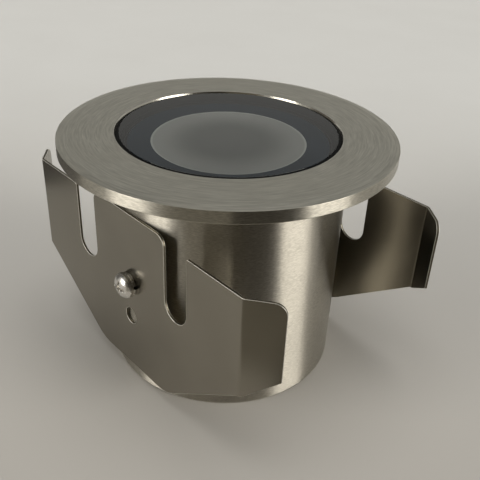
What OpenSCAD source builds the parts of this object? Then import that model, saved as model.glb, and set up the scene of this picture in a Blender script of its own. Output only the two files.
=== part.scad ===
// In-ground well light: a turned steel can with a screwed bezel and thick glass, a small
// light engine and driver inside, a cable gland under the floor and two spring brackets.
// Millimetres, +Z up. The origin is the centre of the rim that the can stands on.

/* [Can] */
// Outside diameter of the can
can_d = 72.4; // [72:0.2:78]
// Wall of the can below its mouth
can_wall = 2.8; // [2.4:0.1:2.9]
// Wall left around the mouth, where the bezel screws in
mouth_wall = 1.5; // [1.2:0.1:1.8]
// Thickness of the floor
can_floor = 3.5; // [3:0.1:4]
// Height of the open skirt under the floor
skirt_h = 17.5; // [17.4:0.1:18.5]
// Chamfer on the rim it stands on
rim_chamfer = 0.6; // [0.2:0.1:1]

/* [Bezel] */
// Outside diameter of the flange
flange_d = 100; // [88:1:110]
// Thickness of the flange
flange_t = 4.1; // [3:0.1:5]
// Width of the shallow bevel around the flange's top
flange_bevel_w = 2.2; // [0.5:0.1:3]
// Height of that bevel
flange_bevel_h = 0.45; // [0.2:0.05:0.8]
// Chamfer on the flange's lower edge and on the window's edge
edge_chamfer = 0.25; // [0.1:0.05:0.4]
// Wall of the threaded neck below the flange
neck_wall = 1.3; // [1.1:0.1:1.5]
// Running clearance of the neck in the can's mouth
neck_clear = 0.06; // [0.03:0.01:0.09]
// Pitch of the neck's thread
thread_pitch = 1; // [0.75:0.25:1.5]
// Depth of the neck's thread
thread_depth = 0.35; // [0.2:0.05:0.5]
// Width of the ledge that carries the glass
ledge_w = 2.8; // [2.2:0.1:3.2]
// Thickness of that ledge
ledge_t = 1.5; // [1:0.1:2]
// Thickness of the flat gasket between flange and can
gasket_t = 0.8; // [0.6:0.1:1]
// Depth of the gasket's seat in the flange
gasket_seat = 0.3; // [0.1:0.05:0.5]

/* [Glass] */
// Thickness of the glass
glass_t = 10; // [9:0.5:11]
// Chamfer on the glass's edges
glass_chamfer = 0.4; // [0.2:0.05:0.8]
// Width of the black seal between glass and bezel
seal_w = 0.5; // [0.3:0.05:0.8]
// How far the seal lies below the flange's top
seal_drop = 0.15; // [0.05:0.05:0.4]
// Thickness of the seal's foot under the glass
seal_foot_t = 1.1; // [0.8:0.1:1.4]

/* [Optic] */
// Gap between the glass and the mask
optic_gap = 0.25; // [0.1:0.05:0.3]
// Gap between the ledge and what stands inside it
ledge_clear = 0.4; // [0.2:0.1:0.8]
// Width of the black mask
mask_w = 6.7; // [6:0.1:9]
// Thickness of the mask
mask_t = 0.5; // [0.3:0.1:0.6]
// How far the frosted disc reaches under the mask
diffuser_lap = 2.6; // [1.5:0.1:2.8]
// Thickness of the frosted disc
diffuser_t = 2; // [1.5:0.1:2.5]
// Height of the reflector
reflector_h = 14.2; // [13:0.1:16]
// Wall of the reflector
reflector_wall = 1.4; // [1:0.1:1.6]
// Opening at the bottom of the reflector
throat_d = 18; // [17:0.5:20]

/* [Light engine] */
// Thickness of the LED board
board_t = 1.6; // [1:0.1:1.8]
// Thickness of the thermal pad under it
pad_t = 0.3; // [0.2:0.1:0.5]
// Number of LEDs around the middle one
led_count = 6; // [3:1:7]
// Diameter of the circle that they stand on
led_ring_d = 11; // [10.5:0.1:12]
// Width of an LED's base
led_w = 3.2; // [2.6:0.1:3.4]
// Height of an LED's base
led_base_h = 0.8; // [0.5:0.1:1]
// Diameter of an LED's lens
led_lens_d = 2.6; // [2:0.1:2.6]
// Thickness of the heat sink
sink_t = 8; // [7:0.1:8]
// Gap between the heat sink and the can
sink_clear = 0.1; // [0.05:0.05:0.3]
// Distance from the can's bore to the middle of a pillar
pillar_inset = 4.4; // [4:0.1:5]
// Width of a hexagonal pillar across its flats
pillar_af = 5.5; // [5:0.1:6]
// Diameter of a lead from driver to board
lead_d = 1.2; // [0.8:0.1:1.4]
// Distance from the edge of the driver board to the middle of a lead
lead_inset = 0.9; // [0.8:0.1:1.4]
// Distance from the middle of a lead to the edge of the LED board
board_margin = 1.7; // [1.2:0.1:2.4]
// Distance from the middle of a lead to the reflector's foot
foot_margin = 1.5; // [1.2:0.1:2]
// Distance from the edge of that foot to the middle of its screws
screw_inset = 2.8; // [2.7:0.1:3]

/* [Driver] */
// Gap between the driver's tray and the pillars
tray_clear = 0.65; // [0.3:0.05:1]
// Wall of the tray
tray_wall = 1.2; // [1:0.1:1.3]
// Height of the tray's feet above the can's floor
tray_foot_h = 5; // [4.8:0.1:8]
// Height of the bosses under the driver board
boss_h = 3.2; // [2.6:0.1:3.4]
// Distance from the edge of the driver board to the middle of its screws
boss_inset = 4.2; // [3.6:0.1:5]
// Thickness of the driver board
driver_t = 1.6; // [1:0.1:1.8]
// Gap between the driver board and the tray
driver_clear = 0.2; // [0.1:0.05:0.3]
// Height above the driver board that its parts have up to the heat sink
part_space_h = 8.65; // [8:0.05:16]

/* [Gland] */
// Diameter of the cable that the gland takes
cable_d = 6; // [5:0.1:6.4]
// Thread that goes through the floor
stub_d = 12; // [11.4:0.1:12.4]
// Width of the gland's hexagons across their flats
gland_af = 15; // [14.6:0.1:16]
// Thickness of the hexagon under the floor
gland_hex_t = 3; // [2.6:0.1:3.2]
// Thickness of the sealing washer
gland_washer_t = 0.8; // [0.6:0.1:1]
// Thickness of the lock nut inside the can
lock_nut_t = 2.8; // [2.4:0.1:3]
// Thread that the cap nut runs on
cap_thread_d = 11.6; // [11:0.1:11.8]
// Gap between the end of that thread and the slip ring
cap_thread_gap = 1.3; // [0.6:0.1:2]
// Running clearance of the cap nut on its thread
cap_clear = 0.06; // [0.03:0.01:0.09]
// Height of the cap nut
cap_h = 10.1; // [8.5:0.1:12]
// Thickness of the cap nut's end
cap_end_t = 1.6; // [1.2:0.1:1.8]
// Outside diameter of the rubber bush
bush_d = 9; // [8.6:0.1:9.2]
// Thickness of the slip ring under the bush
slip_ring_t = 0.8; // [0.6:0.1:1]

/* [Brackets] */
// Thickness of the spring steel
bracket_t = 0.8; // [0.6:0.1:1]
// Width of a bracket between its two folds
bracket_w = 96.8; // [92:0.2:100]
// Height of a bracket from its tab to its lower edge
bracket_h = 54.7; // [50:0.1:56]
// How much higher the rear bracket is cut along its lower edges
rear_trim = 2.1; // [0:0.1:3]
// Gap between the flange and a bracket's tab
bracket_gap = 11.7; // [10:0.1:14]
// How much lower the wings start than the tab
wing_drop = 1.6; // [0.5:0.1:3]
// Height of a wing at its fold
wing_h = 31; // [26:0.5:34]
// Width of the straight lower edge
bottom_w = 34; // [28:1:40]
// Width of the slots that free the wings
slot_w = 9.6; // [7:0.1:11]
// Distance between the slots
slot_pitch = 44.4; // [42:0.2:50]
// Depth of the slots below the tab's edge
slot_depth = 24.7; // [20:0.1:27]
// Rounding of the tab's corners
tab_corner_r = 3.2; // [1:0.1:5]
// Rounding of the wings' inner corners
wing_corner_r = 0.8; // [0.2:0.1:2]
// Rounding of the corners of the lower edge
bottom_corner_r = 12; // [4:1:16]
// Length of a folded tip
tip_l = 10.5; // [8:0.1:12]
// Height of a tip at its end
tip_h = 24; // [18:0.5:27]
// Angle that a tip is folded by
tip_angle = 38; // [20:1:60]
// Rounding of a tip's upper corner
tip_corner_r = 3.5; // [1:0.1:5]
// Inside radius of the fold
bend_r = 1; // [0.5:0.1:2]
// Gap between the heat sink and the weld nuts, which sets the height of the screws
nut_clear = 0.35; // [0.2:0.05:1]
// Distance from the screw down to the spare hole
hole_pitch = 11.8; // [11:0.1:14]
// Diameter of the spare hole
hole_d = 5.3; // [4.5:0.1:6]

/* [Fasteners] */
// Thread of the bracket screws
m4_d = 4; // [3.8:0.1:4.2]
// Head of the bracket screws
m4_head_d = 8; // [7.2:0.1:8.4]
// Height of that head
m4_head_h = 2.9; // [2.2:0.1:3.2]
// Length of the bracket screws under their heads
m4_l = 8; // [7.4:0.1:8.6]
// Outside diameter of the lock washers
washer_d = 7.6; // [6.8:0.1:8]
// Thickness of the lock washers
washer_t = 1.1; // [0.8:0.1:1.3]
// Radial clearance of a bracket's bore on its screw
pivot_clear = 0.08; // [0.03:0.01:0.09]
// Diameter of the weld nuts inside the can
weld_nut_d = 8.6; // [8:0.1:9]
// Closed end of a weld nut behind its thread
weld_nut_end = 1.3; // [0.8:0.1:2]
// Thread of the inner screws
m3_d = 3; // [2.6:0.1:3]
// Head of the inner screws
m3_head_d = 5.2; // [4.8:0.1:5.4]
// Height of that head
m3_head_h = 1.8; // [1.4:0.1:2]

/* [Hidden] */

$fn = 96;
overrun = 1;
seat_gap = 0.05;

can_r = can_d / 2;
bore_r = can_r - can_wall;
floor_z = skirt_h + can_floor;
pillar_r = bore_r - pillar_inset;

tray_z = floor_z + tray_foot_h;
tray_r = pillar_r - pillar_af / 2 - tray_clear;
driver_z = tray_z + tray_wall + boss_h;
driver_r = tray_r - tray_wall - driver_clear;
driver_top_z = driver_z + driver_t;
sink_z = driver_top_z + part_space_h;
tray_top_z = sink_z - driver_clear;
boss_r = driver_r - boss_inset;
boss_d = 2 * m3_d;

core_shares = [0.54, 0.434, 0.74];
core_leg_share = 0.09;
core_place_share = [-0.37, 0.19];
winding_shares = [0.33, 0.52];
capacitor_shares = [0.26, 0.75];
capacitor_seat = 0.5;
capacitor_place_shares = [[0.27, 0.41], [0.57, 0.27]];
chip_shares = [0.21, 0.17, 0.2];
chip_place_share = [0.04, -0.19];
bridge_shares = [0.25, 0.21, 0.28];
bridge_place_share = [0.45, -0.25];
coil_shares = [0.29, 0.52];
coil_place_share = [-0.41, -0.29];
block_shares = [0.41, 0.29, 0.72];
block_pitch_share = 0.2;
block_mouth_share = 0.12;
block_place_share = [0.08, -0.64];

lead_r = driver_r - lead_inset;
lead_angle = 60;
lead_gap = lead_d / 2;
board_r = lead_r + board_margin;
foot_r = lead_r - foot_margin;
foot_t = reflector_wall;
screw_r = foot_r - screw_inset;

sink_r = bore_r - sink_clear;
sink_top_z = sink_z + sink_t;
board_z = sink_top_z + pad_t;
reflector_z = board_z + board_t;
mask_z = reflector_z + reflector_h;
glass_z = mask_z + mask_t + optic_gap;
overall_h = glass_z + glass_t;
counterbore_h = m3_head_h + pad_t;
board_screw_l = foot_t + board_t + pad_t + m3_d;
sink_screw_l = sink_t - counterbore_h + m3_d;
tapped_run = 0.5;
pillar_stud_l = can_floor - mouth_wall / 2;
pillar_angles = [0, 120, 240];
board_screw_angles = [30, 150, 270];

mouth_r = can_r - mouth_wall;
neck_r = mouth_r - neck_clear;
window_r = neck_r - neck_wall;
flange_r = flange_d / 2;
flange_z = overall_h - flange_t;
can_top_z = flange_z + gasket_seat - gasket_t;
gasket_seat_r = can_r + neck_wall / 2;
glass_r = window_r - seal_w;
ledge_z = glass_z - seal_foot_t;
neck_z = ledge_z - ledge_t;
ledge_r = window_r - ledge_w;
mouth_z = neck_z - thread_pitch;

optic_r = ledge_r - ledge_clear;
mask_hole_r = optic_r - mask_w;
diffuser_r = mask_hole_r + diffuser_lap;
diffuser_z = mask_z - diffuser_t;
diffuser_clear = 0.2;
pocket_r = diffuser_r + diffuser_clear;
cone_top_r = mask_hole_r + diffuser_clear;

gland_z = skirt_h - gland_washer_t;
gland_hex_z = gland_z - gland_hex_t;
cap_gap = 0.3;
cap_z = gland_hex_z - cap_gap - cap_h;
slip_z = cap_z + cap_end_t;
bush_z = slip_z + slip_ring_t;
bush_clear = 0.1;
nut_chamfer = 0.6;
bush_top_z = gland_hex_z - 2 * nut_chamfer;
cap_thread_z = bush_z + cap_thread_gap;
cap_thread_l = gland_hex_z - cap_thread_z;
cable_clear = 0.3;
nose_r = cable_d / 2 + 3 * cable_clear + cap_end_t;
stub_l = gland_washer_t + can_floor + lock_nut_t + thread_pitch;

tab_z = flange_z - bracket_gap;
screw_z = sink_z - nut_clear - weld_nut_d / 2;
bracket_in_y = can_r + seat_gap;
bracket_out_y = bracket_in_y + bracket_t;
washer_y = bracket_out_y + seat_gap;
head_y = washer_y + washer_t;
screw_run = m4_l - (head_y - bore_r);
weld_nut_t = screw_run + tapped_run + weld_nut_end;
wing_top = -wing_drop;
fold_x = bracket_w / 2;
fold_reach = bend_r * tan(tip_angle / 2);
washer_split_w = 0.7;
washer_split_angle = 15;

// Places things at equal radius and at each of the given angles.
module around(r, angles) {
    for (a = angles) rotate([0, 0, a]) translate([r, 0, 0]) children();
}

// Ring with its lower face at z.
module ring(outer_r, inner_r, z, h) {
    translate([0, 0, z]) difference() {
        cylinder(r = outer_r, h = h);
        translate([0, 0, -overrun]) cylinder(r = inner_r, h = h + 2 * overrun);
    }
}

// Hexagonal prism by its width across the flats.
module hexagon(af, h) {
    cylinder(r = af / 2 / cos(30), h = h, $fn = 6);
}

// Domed outline of a screw head: a short straight edge, then a quarter of an ellipse.
function dome(r, edge_h, h, steps = 8) =
    [for (i = [0 : steps]) let (a = i * 90 / steps) [r * cos(a), edge_h + (h - edge_h) * sin(a)]];

// Corner of an outline replaced by an arc that touches both of its edges.
function rounded_corner(a, p, b, r, steps = 6) =
    let (u = (a - p) / norm(a - p), v = (b - p) / norm(b - p),
         half = acos(u * v) / 2, reach = r / tan(half),
         centre = p + (u + v) / norm(u + v) * r / sin(half),
         from = p + u * reach - centre, to = p + v * reach - centre,
         start = atan2(from[1], from[0]), turn = atan2(to[1], to[0]) - start,
         sweep = turn > 180 ? turn - 360 : turn < -180 ? turn + 360 : turn)
    [for (i = [0 : steps]) let (angle = start + sweep * i / steps)
        centre + r * [cos(angle), sin(angle)]];

// Pan-head screw along -Z, with its head's seat at z = 0 and a cross recess.
module pan_screw(d, head_d, head_h, l) {
    recess_w = d / 4;
    recess_l = head_d / 2;
    recess_h = head_h / 2;
    difference() {
        union() {
            rotate_extrude() polygon(concat([[0, 0]], dome(head_d / 2, head_h / 4, head_h)));
            translate([0, 0, -l]) cylinder(d = d, h = l + head_h / 4);
        }
        for (a = [0, 90]) rotate([0, 0, a])
            translate([-recess_l / 2, -recess_w / 2, head_h - recess_h])
                cube([recess_l, recess_w, recess_h + overrun]);
    }
}

// Block that stands centred on z = 0.
module standing_block(size) {
    translate([-size[0] / 2, -size[1] / 2, 0]) cube(size);
}

// Puts a part on the driver board, at a share of the board's radius from its middle.
module on_driver_board(share) {
    translate([share[0] * driver_r, share[1] * driver_r, driver_top_z]) children();
}

// Size of a part on the driver board, from shares of the board's radius and of the height there.
function part_size(shares) = [shares[0] * driver_r, shares[1] * driver_r, shares[2] * part_space_h];

// Stands what is modelled along +Z out of both walls, at the height of the bracket screws.
module on_wall(y) {
    for (side = [0, 180]) rotate([0, 0, side])
        translate([0, -y, screw_z]) rotate([90, 0, 0]) children();
}

module can() {
    color("silver") difference() {
        rotate_extrude() polygon([
            [can_r - rim_chamfer, 0], [can_r, rim_chamfer], [can_r, can_top_z],
            [mouth_r, can_top_z], [mouth_r, mouth_z], [bore_r, mouth_z], [bore_r, floor_z],
            [0, floor_z], [0, skirt_h], [bore_r, skirt_h], [bore_r, rim_chamfer],
            [bore_r + rim_chamfer, 0]]);
        translate([0, 0, skirt_h - overrun])
            cylinder(d = stub_d + 2 * bush_clear, h = can_floor + 2 * overrun);
        on_wall(can_r + overrun) translate([0, 0, -can_wall - 2 * overrun])
            cylinder(d = m4_d + 2 * seat_gap, h = can_wall + 3 * overrun);
        around(pillar_r, pillar_angles) translate([0, 0, floor_z - pillar_stud_l])
            cylinder(d = m3_d + 2 * seat_gap, h = pillar_stud_l + overrun);
    }
}

// Closed nuts welded to the inside of the wall, behind the bracket screws.
module weld_nuts() {
    color("gray") intersection() {
        cylinder(r = bore_r - seat_gap, h = overall_h);
        on_wall(bore_r + overrun) translate([0, 0, -weld_nut_t - overrun]) difference() {
            cylinder(d = weld_nut_d, h = weld_nut_t + 2 * overrun);
            translate([0, 0, weld_nut_end])
                cylinder(d = m4_d + 2 * seat_gap, h = weld_nut_t + 2 * overrun);
        }
    }
}

// Flange with a threaded neck that ends in the ledge under the glass.
module bezel_ring() {
    thread_z = neck_z + thread_pitch;
    turns = floor((flange_z - thread_z) / thread_pitch) - 1;
    thread = [for (i = [0 : turns - 1]) let (z = flange_z - (i + 1) * thread_pitch)
        each [[neck_r, z], [neck_r - thread_depth, z - thread_pitch / 2], [neck_r, z - thread_pitch]]];
    color("silver") rotate_extrude() polygon(concat(
        [[window_r, overall_h - edge_chamfer], [window_r + edge_chamfer, overall_h],
         [flange_r - flange_bevel_w, overall_h], [flange_r, overall_h - flange_bevel_h],
         [flange_r, flange_z + edge_chamfer], [flange_r - edge_chamfer, flange_z],
         [gasket_seat_r, flange_z], [gasket_seat_r, flange_z + gasket_seat],
         [neck_r, flange_z + gasket_seat]],
        thread,
        [[neck_r, neck_z], [ledge_r, neck_z], [ledge_r, ledge_z], [window_r, ledge_z]]));
}

module bezel_gasket() {
    color("black") ring(can_r - edge_chamfer, mouth_r, can_top_z, gasket_t);
}

module glass() {
    color("lightblue", 0.5) rotate_extrude() polygon([
        [0, glass_z], [glass_r - glass_chamfer, glass_z], [glass_r, glass_z + glass_chamfer],
        [glass_r, overall_h - glass_chamfer], [glass_r - glass_chamfer, overall_h], [0, overall_h]]);
}

// Black seal with an L-shaped section: a band around the glass and a foot under it.
module glass_seal() {
    color("black") rotate_extrude() polygon([
        [ledge_r, ledge_z], [window_r, ledge_z], [window_r, overall_h - seal_drop - edge_chamfer],
        [glass_r, overall_h - seal_drop - glass_chamfer], [glass_r, glass_z + glass_chamfer],
        [glass_r - glass_chamfer, glass_z], [ledge_r, glass_z]]);
}

module mask_ring() {
    color("black") ring(optic_r, mask_hole_r, mask_z, mask_t);
}

module diffuser() {
    color("white", 0.8) translate([0, 0, diffuser_z]) cylinder(r = diffuser_r, h = diffuser_t);
}

// Cone with a pocket for the frosted disc, a rim under the mask and a foot on the board.
module reflector() {
    rim_t = reflector_wall;
    pocket_z = diffuser_z - rim_t;
    slope = (cone_top_r - throat_d / 2) / (diffuser_z - reflector_z);
    outer_r = throat_d / 2 + reflector_wall * norm([1, slope]);
    color("white") difference() {
        rotate_extrude() polygon([
            [throat_d / 2, reflector_z], [foot_r, reflector_z], [foot_r, reflector_z + foot_t],
            [outer_r + slope * foot_t, reflector_z + foot_t],
            [outer_r + slope * (pocket_z - reflector_z), pocket_z],
            [pocket_r + reflector_wall, pocket_z], [pocket_r + reflector_wall, mask_z - rim_t],
            [optic_r, mask_z - rim_t], [optic_r, mask_z], [pocket_r, mask_z],
            [pocket_r, diffuser_z], [cone_top_r, diffuser_z]]);
        around(screw_r, board_screw_angles) translate([0, 0, reflector_z - overrun])
            cylinder(d = m3_d + 4 * seat_gap, h = foot_t + 2 * overrun);
    }
}

// The two holes that the leads come up through, or with a larger size one hole for both.
module lead_holes(d, z, h) {
    rotate([0, 0, lead_angle]) for (side = [-1, 1])
        translate([lead_r, side * (lead_d + lead_gap) / 2, z]) cylinder(d = d, h = h);
}

module led_board() {
    color("white") difference() {
        translate([0, 0, board_z]) cylinder(r = board_r, h = board_t);
        around(screw_r, board_screw_angles) translate([0, 0, board_z - overrun])
            cylinder(d = m3_d + 4 * seat_gap, h = board_t + 2 * overrun);
        lead_holes(lead_d + 2 * seat_gap, board_z - overrun, board_t + 2 * overrun);
    }
}

module led() {
    translate([-led_w / 2, -led_w / 2, 0]) cube([led_w, led_w, led_base_h]);
    translate([0, 0, led_base_h]) intersection() {
        sphere(d = led_lens_d, $fn = 32);
        cylinder(d = led_lens_d, h = led_lens_d);
    }
}

// One LED in the middle and a ring of them around it.
module leds() {
    color("gold") translate([0, 0, board_z + board_t]) {
        led();
        around(led_ring_d / 2, [for (i = [0 : led_count - 1]) i * 360 / led_count]) led();
    }
}

module thermal_pad() {
    color("pink") difference() {
        translate([0, 0, sink_top_z]) cylinder(r = board_r - lead_d, h = pad_t);
        around(screw_r, board_screw_angles) translate([0, 0, sink_top_z - overrun])
            cylinder(d = m3_d + 4 * seat_gap, h = pad_t + 2 * overrun);
        lead_holes(2 * lead_d, sink_top_z - overrun, pad_t + 2 * overrun);
    }
}

module heat_sink() {
    color("lightgray") difference() {
        translate([0, 0, sink_z]) cylinder(r = sink_r, h = sink_t);
        around(screw_r, board_screw_angles)
            translate([0, 0, sink_top_z - m3_d - tapped_run])
                cylinder(d = m3_d + 2 * seat_gap, h = m3_d + tapped_run + overrun);
        around(pillar_r, pillar_angles) {
            translate([0, 0, sink_z - overrun]) cylinder(d = m3_d + 4 * seat_gap, h = sink_t + overrun);
            translate([0, 0, sink_top_z - counterbore_h])
                cylinder(d = m3_head_d + 4 * seat_gap, h = counterbore_h + overrun);
        }
        lead_holes(2 * lead_d, sink_z - overrun, sink_t + 2 * overrun);
    }
}

module board_screws() {
    color("dimgray") around(screw_r, board_screw_angles)
        translate([0, 0, reflector_z + foot_t]) pan_screw(m3_d, m3_head_d, m3_head_h, board_screw_l);
}

// Hexagonal pillars with a stud in the floor and a tapped top.
module pillars() {
    color("gold") around(pillar_r, pillar_angles) translate([0, 0, floor_z]) difference() {
        union() {
            rotate([0, 0, 30]) hexagon(pillar_af, sink_z - floor_z);
            translate([0, 0, -pillar_stud_l + seat_gap]) cylinder(d = m3_d, h = pillar_stud_l);
        }
        translate([0, 0, sink_z - floor_z - m3_d - tapped_run])
            cylinder(d = m3_d + 2 * seat_gap, h = m3_d + tapped_run + overrun);
    }
}

module sink_screws() {
    color("dimgray") around(pillar_r, pillar_angles) translate([0, 0, sink_top_z - counterbore_h])
        pan_screw(m3_d, m3_head_d, m3_head_h, sink_screw_l);
}

// Two leads from the driver board up through the heat sink, each with its solder joint.
module led_leads() {
    rise = board_z + board_t - driver_top_z;
    color("red") translate([0, 0, driver_top_z]) lead_holes(lead_d, 0, rise);
    color("silver") translate([0, 0, driver_top_z]) lead_holes(lead_d + lead_gap, rise, lead_gap);
}

// Moulded tray on three feet, with bosses that carry the driver board.
module driver_tray() {
    color("black") difference() {
        union() {
            translate([0, 0, tray_z]) difference() {
                cylinder(r = tray_r, h = tray_top_z - tray_z);
                translate([0, 0, tray_wall])
                    cylinder(r = tray_r - tray_wall, h = tray_top_z - tray_z);
            }
            around(boss_r, pillar_angles) {
                translate([0, 0, floor_z]) cylinder(d = boss_d, h = tray_foot_h);
                translate([0, 0, tray_z]) cylinder(d = boss_d, h = tray_wall + boss_h);
            }
        }
        around(boss_r, pillar_angles) translate([0, 0, driver_z - m3_d - tapped_run])
            cylinder(d = m3_d + 2 * seat_gap, h = m3_d + tapped_run + overrun);
    }
}

module driver_board() {
    color("darkgreen") difference() {
        translate([0, 0, driver_z]) cylinder(r = driver_r, h = driver_t);
        around(boss_r, pillar_angles) translate([0, 0, driver_z - overrun])
            cylinder(d = m3_d + 4 * seat_gap, h = driver_t + 2 * overrun);
    }
}

module driver_screws() {
    color("dimgray") around(boss_r, pillar_angles)
        translate([0, 0, driver_top_z]) pan_screw(m3_d, m3_head_d, m3_head_h, driver_t + m3_d);
}

// Ferrite core around a taped winding.
module transformer() {
    core = part_size(core_shares);
    leg = core_leg_share * driver_r;
    winding = [winding_shares[0] * driver_r, winding_shares[1] * driver_r, core[2] - leg];
    slit_w = core[0] / 2 - leg - winding[0] / 2;
    color("dimgray") on_driver_board(core_place_share) difference() {
        union() {
            standing_block(core);
            translate([0, 0, leg / 2]) standing_block(winding);
        }
        for (side = [-1, 1]) translate([side * (winding[0] + slit_w) / 2, 0, leg / 2])
            standing_block([slit_w, core[1] + 2 * overrun, winding[2]]);
    }
}

module capacitors() {
    size = [capacitor_shares[0] * driver_r, capacitor_shares[1] * part_space_h];
    color("midnightblue") for (share = capacitor_place_shares) on_driver_board(share) {
        cylinder(d = size[0] - capacitor_seat, h = capacitor_seat);
        translate([0, 0, capacitor_seat]) cylinder(d = size[0], h = size[1] - capacitor_seat);
    }
}

// Controller, rectifier and coil.
module control_chips() {
    color("black") {
        on_driver_board(chip_place_share) standing_block(part_size(chip_shares));
        on_driver_board(bridge_place_share) standing_block(part_size(bridge_shares));
        on_driver_board(coil_place_share)
            cylinder(d = coil_shares[0] * driver_r, h = coil_shares[1] * part_space_h);
    }
}

// Two-way terminal block with its screw wells and wire mouths.
module terminal_block() {
    block = part_size(block_shares);
    pitch = block_pitch_share * driver_r;
    mouth = block_mouth_share * driver_r;
    color("green") on_driver_board(block_place_share) difference() {
        standing_block(block);
        for (side = [-1, 1]) translate([side * pitch / 2, 0, 0]) {
            translate([0, 0, block[2] - mouth]) cylinder(d = mouth, h = block[2]);
            translate([0, (mouth - block[1] - overrun) / 2, mouth / 4])
                standing_block([mouth, mouth + overrun, mouth]);
        }
    }
}

// Gland: a stub through the floor, a hexagon and the thread that the cap nut runs on.
module gland_body() {
    color("silver") difference() {
        union() {
            translate([0, 0, gland_z]) cylinder(d = stub_d, h = stub_l);
            translate([0, 0, gland_hex_z]) hexagon(gland_af, gland_hex_t);
            translate([0, 0, cap_thread_z]) cylinder(d = cap_thread_d, h = cap_thread_l + overrun);
        }
        translate([0, 0, cap_thread_z - overrun])
            cylinder(d = bush_d + 2 * bush_clear, h = bush_top_z - cap_thread_z + overrun);
        translate([0, 0, cap_thread_z])
            cylinder(d = cable_d + 4 * cable_clear, h = stub_l + gland_hex_t + cap_thread_l + overrun);
    }
}

module gland_washer() {
    color("black") ring(gland_af / 2, stub_d / 2 + seat_gap, gland_z, gland_washer_t);
}

module gland_lock_nut() {
    color("silver") translate([0, 0, floor_z]) difference() {
        hexagon(gland_af, lock_nut_t);
        translate([0, 0, -overrun]) cylinder(d = stub_d + 2 * seat_gap, h = lock_nut_t + 2 * overrun);
    }
}

module gland_bush() {
    color("black") ring(bush_d / 2, cable_d / 2, bush_z, bush_top_z - bush_z);
}

module gland_slip_ring() {
    color("white") ring(cap_thread_d / 2 - cable_clear, cable_d / 2 + cable_clear, slip_z, slip_ring_t);
}

// Domed hexagonal nut that presses the bush through the slip ring.
module gland_cap_nut() {
    corner_r = gland_af / 2 / cos(30);
    color("silver") difference() {
        intersection() {
            translate([0, 0, cap_z]) hexagon(gland_af, cap_h);
            rotate_extrude() polygon(concat(
                [[0, cap_z], [nose_r, cap_z]],
                [for (a = [15 : 15 : 90])
                    [nose_r + (corner_r - nose_r) * sin(a), cap_z + cap_h / 3 * (1 - cos(a))]],
                [[corner_r, cap_z + cap_h - nut_chamfer], [corner_r - nut_chamfer, cap_z + cap_h],
                 [0, cap_z + cap_h]]));
        }
        translate([0, 0, slip_z]) cylinder(d = cap_thread_d + 2 * cap_clear, h = cap_h);
        translate([0, 0, cap_z - overrun])
            cylinder(d = cable_d + 2 * cable_clear, h = cap_end_t + 2 * overrun);
    }
}

// Flat part of a bracket, with the tab's edge at height zero.
module bracket_outline(trim) {
    side = fold_x - fold_reach;
    low = trim - bracket_h;
    slope_end = [side, wing_top - wing_h + trim];
    corner = [bottom_w / 2, low];
    inner_x = (slot_pitch + slot_w) / 2;
    slot_round = -slot_depth + slot_w / 2;
    outline = concat(
        [[-slope_end[0], slope_end[1]]],
        rounded_corner([-slope_end[0], slope_end[1]], [-corner[0], low], corner, bottom_corner_r),
        rounded_corner([-corner[0], low], corner, slope_end, bottom_corner_r),
        [slope_end, [side, wing_top]],
        rounded_corner([side, wing_top], [inner_x, wing_top], [inner_x, low], wing_corner_r),
        [[inner_x, slot_round], [-inner_x, slot_round]],
        rounded_corner([-inner_x, low], [-inner_x, wing_top], [-side, wing_top], wing_corner_r),
        [[-side, wing_top]]);
    polygon(outline);
}

// The tab between the slots, from its edge down into the flat part.
module tab_outline() {
    half = (slot_pitch - slot_w) / 2;
    polygon(concat(
        rounded_corner([half, -slot_depth], [half, 0], [-half, 0], tab_corner_r),
        rounded_corner([half, 0], [-half, 0], [-half, -slot_depth], tab_corner_r),
        [[-half, -slot_depth], [half, -slot_depth]]));
}

// Folded tip, from the fold outwards along +X.
module tip_outline(trim) {
    polygon(concat(
        [[fold_reach, wing_top - wing_h + trim], [tip_l, wing_top - tip_h + trim]],
        rounded_corner([tip_l, wing_top - tip_h], [tip_l, wing_top], [fold_reach, wing_top],
            tip_corner_r),
        [[fold_reach, wing_top]]));
}

// Spring bracket on the front wall: the flat part, two bends and two folded tips.
module bracket(trim) {
    fold_h = wing_h - trim;
    slot_round_z = tab_z - slot_depth + slot_w / 2;
    cut_h = bracket_t + 2 * overrun;
    color("gray") difference() {
        union() {
            translate([0, -bracket_in_y, tab_z]) rotate([90, 0, 0]) linear_extrude(bracket_t) {
                bracket_outline(trim);
                tab_outline();
            }
            for (side = [0, 1]) mirror([side, 0, 0]) {
                translate([fold_x - fold_reach, bend_r - bracket_in_y, tab_z + wing_top - fold_h])
                    rotate([0, 0, -90]) rotate_extrude(angle = tip_angle)
                        translate([bend_r, 0]) square([bracket_t, fold_h]);
                translate([fold_x, -bracket_in_y, tab_z]) rotate([0, 0, tip_angle])
                    rotate([90, 0, 0]) linear_extrude(bracket_t) tip_outline(trim);
            }
        }
        translate([0, overrun - bracket_in_y, 0]) rotate([90, 0, 0]) {
            for (side = [-1, 1]) translate([side * slot_pitch / 2, slot_round_z, 0]) {
                cylinder(d = slot_w, h = cut_h);
                translate([-slot_w / 2, 0, 0]) cube([slot_w, slot_depth, cut_h]);
            }
            translate([0, screw_z, 0]) cylinder(d = m4_d + 2 * pivot_clear, h = cut_h);
            translate([0, screw_z - hole_pitch, 0]) cylinder(d = hole_d, h = cut_h);
        }
    }
}

module front_bracket() {
    bracket(0);
}

module rear_bracket() {
    rotate([0, 0, 180]) bracket(rear_trim);
}

module bracket_screws() {
    color("gainsboro") on_wall(head_y) pan_screw(m4_d, m4_head_d, m4_head_h, m4_l);
}

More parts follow.
